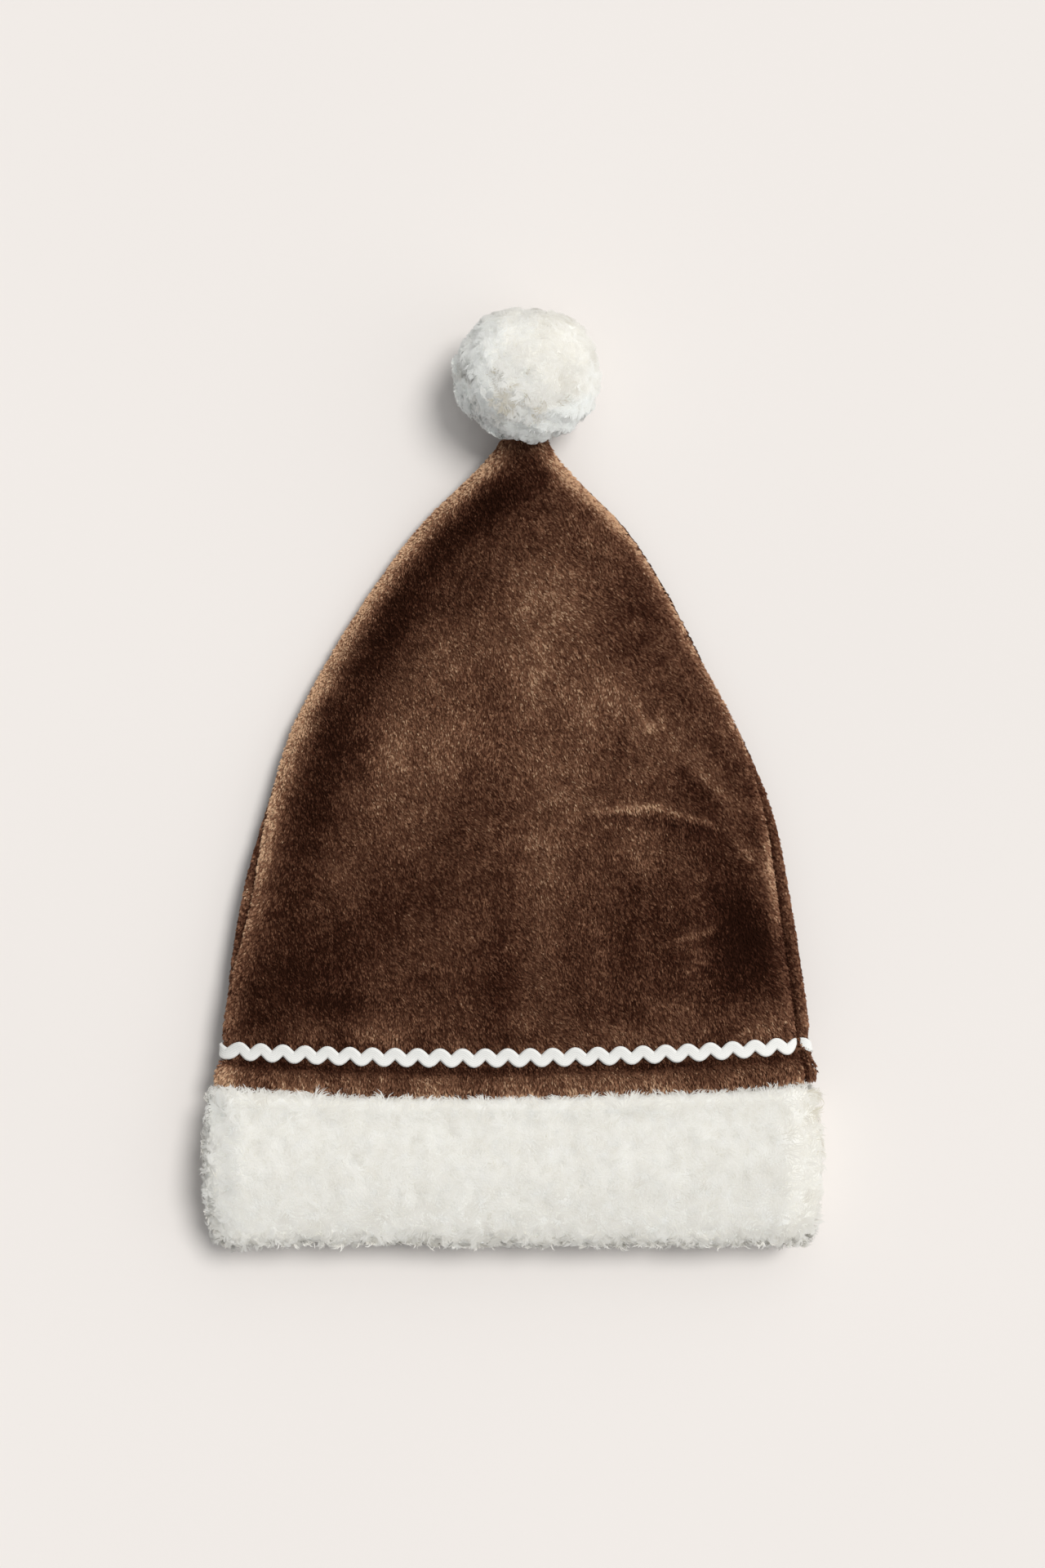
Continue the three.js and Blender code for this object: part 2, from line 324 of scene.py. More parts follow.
def grid_normals(grid):
    """The outward direction at each point of a grid whose rows run up and columns run round."""
    return unit(np.cross(np.gradient(grid, axis=1), np.gradient(grid, axis=0)))


print("squares in a grid of 3 by 4 points:", len(grid_faces(3, 4)))

# %% [markdown]
# ## Natural unevenness
#
# Cloth is never even: pile lies in patches, fleece curls in tufts. Smooth patches of a
# chosen size come from adding waves that run in many directions. The seed is fixed, so
# every run gives the same hat.


# %% Patches and scattering
def mottle(points, size, seed):
    """Smooth patches about size mm wide, mostly from -2 to 2."""
    dice = np.random.default_rng(seed)
    waves = 16
    ways = unit(dice.normal(size=(waves, points.shape[-1])))
    pace = math.pi / (size * dice.uniform(0.7, 1.6, waves))
    shift = dice.uniform(0, 2 * math.pi, waves)
    total = np.zeros(points.shape[:-1])
    for way, quick, start in zip(ways, pace, shift):
        total += np.sin(points @ (way * quick) + start)
    return total / math.sqrt(waves / 2)


def scatter(grid, count, dice, weight=None):
    """Random spots spread evenly over a grid: its square, and the place inside the square."""
    across = grid[1:, 1:] - grid[:-1, :-1]
    other = grid[1:, :-1] - grid[:-1, 1:]
    area = np.linalg.norm(np.cross(across, other), axis=-1) / 2
    share = area if weight is None else area * weight
    steps = np.cumsum(share.ravel())
    pick = np.searchsorted(steps, dice.random(count) * steps[-1])
    row, column = np.unravel_index(pick, share.shape)
    return row, column, dice.random(count), dice.random(count)


def at_spots(values, spots):
    """Values of a grid at scattered spots, blended between the corners of their squares."""
    row, column, up, along = spots
    if values.ndim == 3:
        up = up[:, None]
        along = along[:, None]
    low = values[row, column] * (1 - along) + values[row, column + 1] * along
    high = values[row + 1, column] * (1 - along) + values[row + 1, column + 1] * along
    return low * (1 - up) + high * up


def gathered(place, one_in, dice):
    """Sorts spots into clumps: each spot's clump, and the way to the clump's middle."""
    middles = place[dice.choice(len(place), max(1, len(place) // one_in), replace=False)]
    tree = KDTree(len(middles))
    for i, middle in enumerate(middles):
        tree.insert(middle, i)
    tree.balance()
    clump = np.array([tree.find(spot)[1] for spot in place])
    return clump, middles[clump] - place


print("a patch of unevenness at three spots", mottle(np.eye(3) * 40, 20, 1).round(2))

# %% [markdown]
# ## The crown's form
#
# The crown is two panels sewn along the sides, lying flat and a little puffed. The frame
# gives it as a stack of flattened sections, and the same short table is used here, in
# millimetres, so that the cloth lies where the frame's solid is. Between two sections a
# smooth curve is drawn through the neighbours. A second table has the soft folds: the middle
# of each, its turn, how long and wide it is, and how high it stands.

# %% Sections and folds of the crown
HEM_Y = -141.1
CROWN_HIGH = 302.0
SECTION_NAMES = "up half lean seam front back boxy roll_left roll_right".split()
SECTIONS = np.array([
    (0, 138, 0.5, 18, 29, 8, 4.2, -6, 11),
    (25, 136.5, 0, 17, 31, 3, 3.8, -4, 14.5),
    (86, 127.3, 0.5, 13, 27, -1, 3.4, 10, 13.5),
    (124, 118.9, 1.5, 11, 25, -1, 3.2, 2, 9.5),
    (162, 105.5, 0.3, 8.5, 22.5, -1, 3, -4, 3),
    (200, 85.5, 0.3, 6.5, 20.5, -1, 2.8, -8, 4),
    (238, 62.7, 2.4, 6, 19, -1, 2.6, -8, 4),
    (261, 45.5, 3.4, 6.5, 18.5, -0.5, 2.4, -8, 6),
    (276, 30, 3.6, 8, 18.5, 1, 2.3, -8, 6),
    (291, 15.5, 4.2, 12.5, 20, 5.5, 2.2, -6, 4),
    (302, 9, 5, 16.5, 22, 11, 2, 0, 0),
])
FOLDS = {
    "left_trough": (-62, 50, 61, 190, 30, -2.5),
    "middle_swell": (-10, 40, 60, 150, 70, 1.8),
    "cross_crease": (62, -15, -6, 70, 12, 2.2),
    "crease_hollow": (66, -27, -6, 62, 18, -1.6),
    "right_dent": (101, -58, 97, 100, 22, -3),
    "upper_right_dent": (72, 22, -52, 60, 16, -1.8),
    "upper_right_ridge": (58, 34, -52, 46, 14, 1.4),
    "low_right_ridge": (86, -80, 20, 44, 14, 1.4),
    "low_middle_fold": (6, -72, 88, 90, 18, -1.4),
    "tip_dent": (22, 112, -50, 44, 14, -1.2),
}


def section_at(up):
    """The section's values at heights up, on a smooth curve through the table."""
    heights = SECTIONS[:, 0]
    gaps = np.diff(heights)[:, None]
    rise = np.diff(SECTIONS, axis=0) / gaps
    slope = np.vstack([rise[:1], (rise[:-1] + rise[1:]) / 2, rise[-1:]])
    low = np.clip(np.searchsorted(heights, up, side="right") - 1, 0, len(gaps) - 1)
    t = ((up - heights[low]) / gaps[low, 0])[..., None]
    values = (
        (2 * t**3 - 3 * t**2 + 1) * SECTIONS[low]
        + (t**3 - 2 * t**2 + t) * gaps[low] * slope[low]
        + (3 * t**2 - 2 * t**3) * SECTIONS[low + 1]
        + (t**3 - t**2) * gaps[low] * slope[low + 1]
    )
    return {name: values[..., i] for i, name in enumerate(SECTION_NAMES)}


def along_across(x, y, turn):
    """Places as measured along and across a turned line."""
    return x * math.cos(turn) + y * math.sin(turn), y * math.cos(turn) - x * math.sin(turn)


def mark_share(mark, x, y):
    """How strongly a long mark (x, y, turn, long, wide) covers a place, 0 to 1."""
    along, across = along_across(x - mark[0], y - mark[1], math.radians(mark[2]))
    return np.exp(-((2 * across / mark[4]) ** 2) - (2 * along / mark[3]) ** 4)


print(len(SECTIONS), "sections and", len(FOLDS), "folds")

# %% [markdown]
# A point of the crown is named by its angle round the section, its height above the hem
# and its depth under the frame's skin. Angle 0 is the middle of the front, a quarter turn
# is a side edge. The sides are pinched in at the seams, and the cloth dips under the braid.

# %% Fading and seams
def faded(value, start, end):
    """0 before start, 1 after end, straight between."""
    return np.clip((value - start) / (end - start), 0, 1)


def bell(value, middle, wide):
    """1 in the middle, falling off smoothly on both sides."""
    return np.exp(-(((value - middle) / wide) ** 2))


def seam_angles(s):
    """The angles of the left and right seams at a section."""
    return -math.pi / 2 + np.radians(s["roll_left"]), math.pi / 2 - np.radians(s["roll_right"])


def turn_from(angle, seam):
    """The turn between an angle and a seam, the short way round."""
    return np.arctan2(np.sin(angle - seam), np.cos(angle - seam))


def hem_dip(side):
    """How far the hem's line lies below its straight place; it rises to the right."""
    return 6 * (1 - side**2) - 1.8 * side


print("the hem dips", hem_dip(0.0), "mm in the middle")

# %% A point of the crown
BRAID_UP = 16.5
BRAID_BED = 1.6
SEAM_TURN = math.radians(12)
SEAM_PINCH = 0.8
SEAM_GROOVE = 1.8
HEM_PUFF = 2.4


def crown_point(angle, up, depth=0.0):
    """Places on the crown, in mm."""
    s = section_at(up)
    side = np.sin(angle)
    front = np.cos(angle) > 0
    boxy = np.where(front, s["boxy"], s["boxy"] * 1.6)
    full = np.maximum(0, 1 - np.abs(side) ** boxy) ** (1 / np.where(front, 1.8, 2.0))
    x = s["lean"] + s["half"] * side
    y = HEM_Y + up - hem_dip(side) * np.maximum(0, 1 - up / 120) ** 2
    fold = sum(row[5] * mark_share(row, x, y) for row in FOLDS.values())
    front_z = s["seam"] + (s["front"] - s["seam"]) * full + fold * full**2
    back_z = np.maximum(0, s["seam"] - (s["seam"] - s["back"]) * full)
    skin = np.stack([x, y, np.where(front, front_z, back_z)], axis=-1)
    reach = s["half"] - np.minimum(8, s["half"] / 2)
    core = np.stack([np.clip(x, s["lean"] - reach, s["lean"] + reach), y, s["seam"]], axis=-1)
    inward = core - skin
    room = np.linalg.norm(inward, axis=-1)
    groove = SEAM_GROOVE * faded(up, 165, 135)
    pinch = 0.0
    for seam in seam_angles(s):
        turn = turn_from(angle, seam) / SEAM_TURN
        pinch = pinch + SEAM_PINCH * bell(turn, 0, 1) + groove * bell(2.6 * turn, 0, 1)
    bed = BRAID_BED * bell(up, BRAID_UP, 5.5)
    puff = np.where(front, HEM_PUFF * bell(up, 5, 5.5), 0)
    sunk = np.minimum(depth + pinch + bed - puff, room - 0.4)
    return skin + unit(inward) * sunk[..., None]


def panel_angles(is_front, up, share):
    """Angles across a panel at heights up; share 0 is its first seam and 1 its second."""
    left, right = seam_angles(section_at(up))
    if is_front:
        return left + (right - left) * share
    return right + (left + 2 * math.pi - right) * share


def panel_grid(is_front, rows, columns, depth, low=0.0, high=CROWN_HIGH):
    """A grid of points over a panel at one depth, with its heights."""
    up, share = np.meshgrid(np.linspace(low, high, rows), np.linspace(0, 1, columns), indexing="ij")
    return crown_point(panel_angles(is_front, up, share), up, depth), up, share


def compare_skin(node, grid):
    """Prints the largest and mean distance from a grid of points to a node of the frame."""
    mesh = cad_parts[node].data
    tree = BVHTree.FromPolygons([v.co for v in mesh.vertices], [p.vertices[:] for p in mesh.polygons])
    away = [tree.find_nearest(Vector(p * MM))[3] / MM for p in grid.reshape(-1, 3)]
    print(f"{node} skin to the frame, mm: largest {max(away):.2f}, mean {sum(away) / len(away):.2f}")


compare_skin("crown_front", panel_grid(True, 40, 31, 0.0)[0])

# %% [markdown]
# ## The plush
#
# The pile is cut short and lies over to the lower right like grass in the wind. Where it
# lies differently it catches the light differently, and folds catch it too. That light is
# painted into the tone of the pile: a painted highlight makes the tan rim, painted shade
# makes the dark band beside it, and a table of marks paints the light and shade of folds,
# dents, creases and turned nap, and the cloudy patches. Patches of several sizes add the
# pile's own uneven tone. A mark is its middle in mm, its turn in degrees, how long and wide
# it is, and how much lighter.

# %% Painted light and shade marks
# Painted light and shade: each mark lightens or darkens the pile where folds, dents, creases and turned
# nap catch or lose the light; tip_shade is the pompom's painted shadow on the tip.
SHADE_AND_LIGHT_MARKS = {
    "tip_shade": (2, 136, 0, 40, 26, -0.12),
    "upper_left_shade": (-22, 88, 45, 60, 24, -0.13),
    "upper_light": (6, 84, 30, 60, 44, 0.11),
    "upper_right_light": (34, 44, -58, 110, 60, 0.10),
    "upper_light_edge": (14, 62, 65, 90, 30, 0.08),
    "upper_centre_light": (11, 50, 80, 40, 16, 0.14),
    "middle_light": (-44, 42, 62, 90, 34, 0.16),
    "middle_light_end": (-36, 1, 70, 70, 18, 0.16),
    "middle_shade": (-66, 20, 62, 40, 14, -0.12),
    "centre_light": (14, -4, 80, 110, 46, 0.15),
    "dent_light": (58, 30, -58, 28, 4.5, 0.22),
    "dent_light_end": (64, 25, 35, 12, 4, 0.14),
    "dent_light_top": (45, 43, 90, 24, 8, 0.14),
    "dent_line": (49, 17, 84, 26, 3.5, -0.14),
    "dent_shade": (70, 47, -50, 40, 14, -0.06),
    "side_fold_light": (92, -3, -42, 22, 4, 0.22),
    "side_fold_shade": (86, -5, -42, 30, 8, -0.20),
    "side_fold_hollow": (98, 7, -55, 40, 10, -0.16),
    "crease_light": (53, -13.5, 4, 44, 3.8, 0.32),
    "crease_light_end": (80, -17.5, -17, 30, 3.6, 0.40),
    "crease_shade": (66, -20, -8, 60, 6, -0.18),
    "under_crease_light": (50, -38, 15, 50, 18, 0.06),
    "right_light": (66, -8, 20, 80, 50, 0.12),
    "right_arc_light": (110, -13, 0, 26, 7, 0.14),
    "right_spot_shade": (113, -23, 90, 22, 14, -0.20),
    "right_spot_light": (106, -33, -60, 14, 4.5, 0.30),
    "right_valley": (94, -44, 112, 96, 24, -0.24),
    "right_valley_low": (103, -80, 95, 46, 40, -0.34),
    "right_ridge_light": (118, -46, 105, 50, 10, 0.16),
    "low_ridge_light": (82, -73, 14, 30, 4, 0.22),
    "low_ridge_end": (93, -67, 40, 14, 3.5, 0.20),
    "low_ridge_shade": (71, -79, 85, 44, 16, -0.14),
    "low_fold_left": (-7, -76, 88, 80, 12, -0.12),
    "low_fold_right": (52, -78, 85, 70, 18, -0.18),
    "low_fold_light": (13, -66, 87, 84, 16, 0.10),
    "low_fold_middle": (28, -72, 88, 70, 14, -0.10),
    "low_middle_shade": (-5, -101, 85, 40, 16, -0.14),
    "low_left_shade": (-88, -84, 42, 130, 60, -0.26),
    "mid_left_shade": (-33, -42, 80, 44, 20, -0.12),
    "middle_low_shade": (-5, -26, 80, 44, 22, -0.11),
    "low_left_light": (-46, -70, 78, 84, 22, 0.13),
    "low_left_fold": (-63, -101, 12, 50, 12, -0.12),
    "left_cloud": (-70, -27, 75, 94, 34, 0.19),
    "above_braid_light": (74, -119, 2, 130, 18, 0.11),
    "above_braid_left": (-80, -117, -4, 56, 13, 0.15),
}
print(len(SHADE_AND_LIGHT_MARKS), "brush marks")

# %% Tone of the pile
NAP_TURN = math.radians(-66)
LEFT_SEAM_ENDS = (112, 98)
RIGHT_SEAM_ENDS = (150, 125)
TIP_ENDS = (301, 288)


def strokes(place, dice):
    """A random lightness for each little tongue of pile, about 0.7 mm wide and 1.5 mm long."""
    along, across = along_across(place[:, 0], place[:, 1], NAP_TURN)
    clump, _ = gathered(np.stack([across, 0.45 * along, 0.45 * place[:, 2]], axis=-1), 3, dice)
    return dice.uniform(-1.7, 1.7, clump.max() + 1)[clump]


def front_tone(place, up, from_seam):
    """The tone of the front's pile, 0 the darkest and 1 the lightest, with painted highlights and
    painted shade.
    """
    x, y = place[:, 0], place[:, 1]
    s = section_at(up)
    from_left = x - (s["lean"] - s["half"])
    from_right = (s["lean"] + s["half"]) - x
    tone = 0.40 + 0.025 * mottle(place, 40, 11) + 0.03 * mottle(place, 14, 12)
    tone += 0.03 * mottle(place, 5, 13)
    # Painted light and shade of folds, creases and turned nap, from the table of marks.
    tone += sum(row[5] * mark_share(row, x, y) for row in SHADE_AND_LIGHT_MARKS.values())
    # Painted highlight: a tan rim along the left edge, where the fibres catch the light side-on. Painted
    # shade: the dark band beside it, where the cloth turns away from the lamp.
    rim_wide = np.clip(0.042 * s["half"] + 5.4, 4, 10.5) + 3.6 * faded(up, 240, 272)
    rim = np.exp(-((np.maximum(from_left, 0) / rim_wide) ** 3))
    tone += rim * (0.22 + 0.35 * faded(up, 20, 110)) * faded(up, *TIP_ENDS)
    band = bell(from_left, 2.4 * rim_wide, 1.15 * rim_wide)
    tone -= (0.30 + 0.06 * faded(up, 190, 215)) * band * faded(up, 70, 130) * faded(up, 300, 270)
    # Painted highlight: a light rim along the right edge, higher up the crown.
    right_wide = 5.0 + 5.5 * faded(up, 250, 278)
    right_rim_highlight = np.exp(-((np.maximum(from_right, 0) / right_wide) ** 3)) * faded(up, 130, 160)
    right_light = 0.26 + 0.24 * faded(up, 180, 205) + 0.08 * faded(up, 250, 278)
    tone += right_rim_highlight * right_light * faded(up, *TIP_ENDS)
    left_turn, right_turn = from_seam
    # Painted shade in the valleys of both side seams, and a painted highlight on the front's rolled edge
    # beside the right seam.
    tone -= 0.40 * bell(right_turn, 0, 2.5) * faded(up, *RIGHT_SEAM_ENDS)
    fold_light = bell(right_turn, 7, 4) * faded(up, *RIGHT_SEAM_ENDS)
    tone += fold_light * (0.10 + 0.20 * bell(up, 95, 25))
    tone -= 0.30 * bell(left_turn, 0, 2.5) * faded(up, 60, 75) * faded(up, *LEFT_SEAM_ENDS)
    # Painted highlight on the strip between the braid and the hem, weaker to the right.
    patchy = 0.5 + 0.5 * np.tanh(2 * mottle(place, 11, 15))
    hem_highlight = faded(up, 11, 8) * (0.17 + 0.13 * patchy) + faded(up, 5, 1.5) * (0.02 + 0.12 * patchy)
    tone += hem_highlight * (1 - 0.35 * faded(x, 60, 110))
    # Painted shade just under the braid.
    tone -= 0.16 * bell(up, 11, 2.2)
    tone += 0.06 * bell(up, 25, 5) * mottle(place, 12, 16)
    return tone


def seam_turns(up, angle):
    """Degrees from the left and the right seam."""
    return [np.degrees(np.abs(turn_from(angle, seam))) for seam in seam_angles(section_at(up))]


def near_seam(up, angle):
    """1 in the valley of a side seam, 0 away from it; higher up the seams don't show."""
    left, right = seam_turns(up, angle)
    near_left = bell(left, 0, 3) * faded(up, *LEFT_SEAM_ENDS)
    near_right = bell(right, 0, 3) * faded(up, *RIGHT_SEAM_ENDS)
    return np.maximum(near_left, near_right)


def panel_tone(is_front, place, up, angle):
    """The tone of a panel's pile; the back's is even, with painted shade in its seams."""
    if is_front:
        return front_tone(place, up, seam_turns(up, angle))
    return 0.46 + 0.05 * mottle(place, 12, 31) - 0.4 * near_seam(up, angle)


print("the nap lies at", round(math.degrees(NAP_TURN)), "degrees")

# %% [markdown]
# ## The ground cloth of the crown
#
# Plush is a knitted ground cloth with a short pile standing on it. The ground is a thin
# closed sheet just under the frame's skin, deep enough that the pile's tips end at the
# skin. A cloth simulation could drape it, but the frame already gives the settled form,
# so the panel is laid directly on those sections. The ground shows between the fibres, so
# it gets the tone of the pile above it, painted light and shade included, on a map of its
# own, and is painted darker as shade under the pile.

# %% Ground cloth finish
# The lightest tints serve the painted highlights of the rims, the darkest the painted shade of seams and
# folds.
PLUSH_TINTS = (
    (0.0, seen(48, 24, 14)),
    (0.25, seen(80, 47, 33)),
    (0.5, seen(122, 84, 64)),
    (0.75, seen(165, 122, 95)),
    (1.0, seen(229, 193, 158)),
)
TONE_MAP = "pile_tone"
ground_finish = Finish("brown_ground_cloth")
tint = ground_finish.ramp(ground_finish.map_parts(TONE_MAP)[0], *PLUSH_TINTS)
knit = ground_finish.noise(ground_finish.places(), 1400.0, 2.0)
# The knit noise, all below 1, also paints the ground darker, as shade under the pile.
knit_shade = ground_finish.ramp(knit, (0.3, (0.48, 0.46, 0.44, 1)), (0.7, (0.86, 0.84, 0.82, 1)))
shaded = ground_finish.multiplied(tint, knit_shade)
ground_finish.grained(shaded, knit, (0.8, 0.95), knit, strength=0.5, distance=0.0004)
ground_finish.set(specular_ior_level=0.05)
print("ground finish with", len(ground_finish.tree.nodes), "nodes")

# %% Front and back ground cloth
PILE_DEEP = 1.0
GROUND_THICK = 0.8


def closed_sheet(upper, lower):
    """Points and faces of a thin closed sheet between two grids of the same size."""
    rows, columns = upper.shape[:2]
    count = rows * columns
    ring = np.concatenate([
        np.arange(columns),
        np.arange(1, rows) * columns + columns - 1,
        np.arange(columns - 2, -1, -1) + (rows - 1) * columns,
        np.arange(rows - 2, 0, -1) * columns,
    ])
    after = np.roll(ring, -1)
    rim = np.stack([ring, ring + count, after + count, after], axis=1)
    faces = np.vstack([grid_faces(rows, columns), grid_faces(rows, columns, count)[:, ::-1], rim])
    return np.vstack([upper.reshape(-1, 3), lower.reshape(-1, 3)]), faces


def ground_panel(name, is_front, rows, columns):
    """The ground cloth of a panel, with the tone of its pile on a map."""
    outer, up, share = panel_grid(is_front, rows, columns, PILE_DEEP)
    inner, _, _ = panel_grid(is_front, rows, columns, PILE_DEEP + GROUND_THICK)
    points, faces = closed_sheet(outer, inner)
    up, share = up.ravel(), share.ravel()
    tone = panel_tone(is_front, outer.reshape(-1, 3), up, panel_angles(is_front, up, share))
    spots = np.stack([np.clip(tone, 0.02, 0.98), share], axis=1)
    return new_piece(name, points, faces, ground_finish, np.vstack([spots, spots]), TONE_MAP)


front_ground = ground_panel("front_ground_cloth", True, 112, 97)
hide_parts("crown_front")
back_ground = ground_panel("back_ground_cloth", False, 80, 65)
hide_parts("crown_back")

# %% [markdown]
# ## The pile
#
# Each fibre bundle is a tiny kite-shaped blade of mesh, not a hair curve. Its root is
# painted dark as shade under the pile, and it lets some light through, as real fibres do.
# Along the hat's edges the blades are seen from the side, so there they turn up towards
# the eye, and their roots are painted lighter.

# %% Plush fibre finish
PLUSH_ROOT_SHADE = ((0.05, (0.56, 0.53, 0.5, 1)), (0.45, (0.82, 0.8, 0.78, 1)), (0.9, (1, 1, 1, 1)))


def fibre_finish(name, tints, roots, rough, through):
    """A finish for fibres, with their tone and the place along them read from the fibre map; the roots
    get painted shade.
    """
    finish = Finish(name)
    tone, along = finish.map_parts(FIBRE_MAP)
    shaded = finish.multiplied(finish.ramp(tone, *tints), finish.ramp(along, *roots))
    finish.to_shader("Base Color", shaded)
    finish.to_shader("Roughness", finish.mapped(along, *rough))
    finish.lit_through(shaded, through)
    return finish


plush_finish = fibre_finish("brown_plush", PLUSH_TINTS, PLUSH_ROOT_SHADE, rough=(0.85, 0.6), through=0.3)
plush_finish.set(specular_ior_level=0.05, sheen_weight=0.06, sheen_roughness=0.4)
plush_finish.set(sheen_tint=seen(214, 170, 134))
print("plush finish with", len(plush_finish.tree.nodes), "nodes")

# %% Blades of pile
PILE_LONG = 2.3
BLADE_KNEE = 0.58


def blades(root, normal, way, length, width, tone, edge):
    """Kite-shaped blades: points, triangles and the fibre map. Edge is 1 where the roots' painted shade
    is lifted.
    """
    facing = normal + [0.0, 0.0, 0.9]
    side = unit(np.cross(way, facing)) * width[:, None] / 2
    rise = unit(way + 0.35 * normal)
    bend = unit(way - 0.3 * normal)
    middle = root + rise * (BLADE_KNEE * length)[:, None]
    tip = middle + bend * ((1 - BLADE_KNEE) * length)[:, None]
    points = np.stack([root, middle + side, middle - side, tip], axis=1).reshape(-1, 3)
    first = np.arange(len(root))[:, None] * 4
    faces = np.stack([first + [0, 1, 2], first + [2, 1, 3]], axis=1).reshape(-1, 3)
    spread = np.array([0.0, 0.004, -0.004, 0.0])
    tones = np.clip(tone, 0.01, 0.99)[:, None] + spread
    along = np.array([0.05, 0.55, 0.55, 0.95]) + edge[:, None] * [0.5, 0.25, 0.25, 0.0]
    return points, faces, np.stack([tones, along], axis=-1).reshape(-1, 2)


def nap_way(place, normal, up, dice):
    """The way each fibre lies: to the lower right, outwards at the left edge, lifted off the cloth."""
    count = len(place)
    swirl = 0.20 * mottle(place, 34, 21) + 0.12 * mottle(place, 7, 22) + 0.18 * dice.normal(size=count)
    outwards = math.radians(55) * faded(-normal[:, 0], 0.2, 0.6)
    heading = NAP_TURN + swirl - math.radians(22) * faded(up, 12, 4) - outwards
    lift = 38 + 8 * dice.normal(size=count)
    ruffled = (np.abs(up - 11.5) < 1.8) & (dice.random(count) < 0.5)
    heading = np.where(ruffled, math.radians(90) + 0.6 * dice.normal(size=count), heading)
    lift = np.radians(np.clip(np.where(ruffled, 60, lift), 14, 70))
    flat = np.stack([np.cos(heading), np.sin(heading), np.zeros(count)], axis=-1)
    return swung(laid_on(flat, normal), normal, lift)


def plush(name, is_front, count, low, high, width, seed, weigh=None):
    """The pile of a panel between two heights; weigh says where across it the pile is dense."""
    dice = np.random.default_rng(seed)
    grid, up, share = panel_grid(is_front, 140, 121, PILE_DEEP, low, high)
    weight = None if weigh is None else weigh(share[:-1, :-1])
    spots = scatter(grid, count, dice, weight)
    place = at_spots(grid, spots)
    normal = unit(at_spots(grid_normals(grid), spots))
    height = at_spots(up, spots)
    angle = panel_angles(is_front, height, at_spots(share, spots))
    sewn = near_seam(height, angle)
    past_rim = faded(height, 140, 170) * faded(normal[:, 0], 0.2, 0.5) * (0.0 if is_front else 1.0)
    streak = strokes(place, dice)
    # Painted shade: the back's pile that shows past the rim at the upper right is painted darker.
    tone = panel_tone(is_front, place, height, angle) - 0.3 * past_rim
    tone = tone + 0.12 * streak + 0.10 * dice.normal(size=count)
    way = nap_way(place, normal, height, dice)
    ragged = past_rim * faded(mottle(place, 20, 32), 0.6, -0.4)
    length = PILE_LONG * dice.uniform(0.8, 1.15, count) * (1 + 0.08 * streak)
    length = length * (1 - 0.5 * sewn) * (1 - 0.6 * ragged) * (1 + 0.5 * faded(height, 9, 1))
    # Painted light: at the hat's side edges the roots are painted lighter.
    edge = faded(np.abs(normal[:, 0]), 0.25, 0.7) * (1 - sewn)
    thick = width * dice.uniform(0.7, 1.3, count) * (1 + 0.4 * edge)
    points, faces, uv = blades(place, normal, way, length, thick, tone, edge)
    off_the_table(points, FIBRE_GAP)
    return new_piece(name, points, faces, plush_finish, uv)


print("a blade is about", PILE_LONG, "mm long")

# %% Plush on both panels
QUICK = 1.0


def near_the_seams(share):
    """1 where the back panel rolls up beside the front, 0 under the hat."""
    return ((share < 0.17) | (share > 0.88)).astype(float)


def under_the_hat(share):
    return 1 - near_the_seams(share)


front_plush = [
    plush("front_plush_low", True, int(93000 * QUICK), 0.0, 112.0, 0.54, 1),
    plush("front_plush_high", True, int(93000 * QUICK), 112.0, CROWN_HIGH, 0.54, 2),
]
back_plush = [
    plush("back_plush_edges", False, int(24000 * QUICK), 0.0, CROWN_HIGH, 0.8, 3, near_the_seams),
    plush("back_plush_under", False, int(10000 * QUICK), 0.0, CROWN_HIGH, 2.3, 4, under_the_hat),
]

# %% [markdown]
# ## The cuff
#
# The cuff is a padded band of curly fleece sewn into a ring and pressed flat by lying
# down. Under the curls is a closed pad with the frame's form, a little smaller and lumpy,
# because the curls stand on it. The frame's rounded-bar section gives the form, so no
# simulation is needed.

# %% Form of the cuff
CUFF_HALF = 143.0
CUFF_HIGH = 76.0
CUFF_LOW_Y = -217.5
CUFF_TOP_Y = -141.5
STACK_HALF = 18.0
CUFF_WALL = 13.0


def rounded_bar(along, half_length, radius):
    """Half the thickness of a bar with round ends, at a place along it."""
    past = np.maximum(0, np.abs(along) - (half_length - radius))
    return np.sqrt(np.maximum(0, radius**2 - past**2))


def cuff_point(turn, wall):
    """Places on the cuff's skin: turn runs round the ring, wall round its thickness."""
    side = np.sin(turn)
    facing = np.where(np.cos(turn) >= 0, 1, -1)
    share = (np.sin(wall) + 1) / 2
    half = CUFF_HALF - 3.5 * (1 - share) ** 2
    x = half * side
    flat = np.zeros_like(x)
    outer = np.stack([x, flat, STACK_HALF + facing * rounded_bar(x, half, STACK_HALF)], axis=-1)
    reach = half - STACK_HALF
    middle = np.stack([np.clip(x, -reach, reach), flat, flat + STACK_HALF], axis=-1)
    inward = unit(middle - outer)
    along = np.sin(wall) * CUFF_HIGH / 2
    half_wall = np.where(np.cos(wall) >= 0, 1, -1) * rounded_bar(along, CUFF_HIGH / 2, CUFF_WALL / 2)
    swell = np.where(half_wall > 0, 1.5 * 4 * share * (1 - share), 0)
    place = outer + inward * (CUFF_WALL / 2 - half_wall - swell)[..., None]
    place[..., 1] = CUFF_LOW_Y + (CUFF_TOP_Y - hem_dip(side) - CUFF_LOW_Y) * share
    return place


def cuff_grid(turns, walls):
    """A grid of points over the whole skin, closed both ways."""
    stretch = np.linspace(-math.pi, math.pi, turns)
    turn = stretch - 0.22 * np.sin(2 * stretch)
    step = np.linspace(-math.pi, math.pi, walls)
    wall = step + 0.3 * np.sin(2 * step)
    wall, turn = np.meshgrid(wall, turn, indexing="ij")
    return cuff_point(turn, wall)


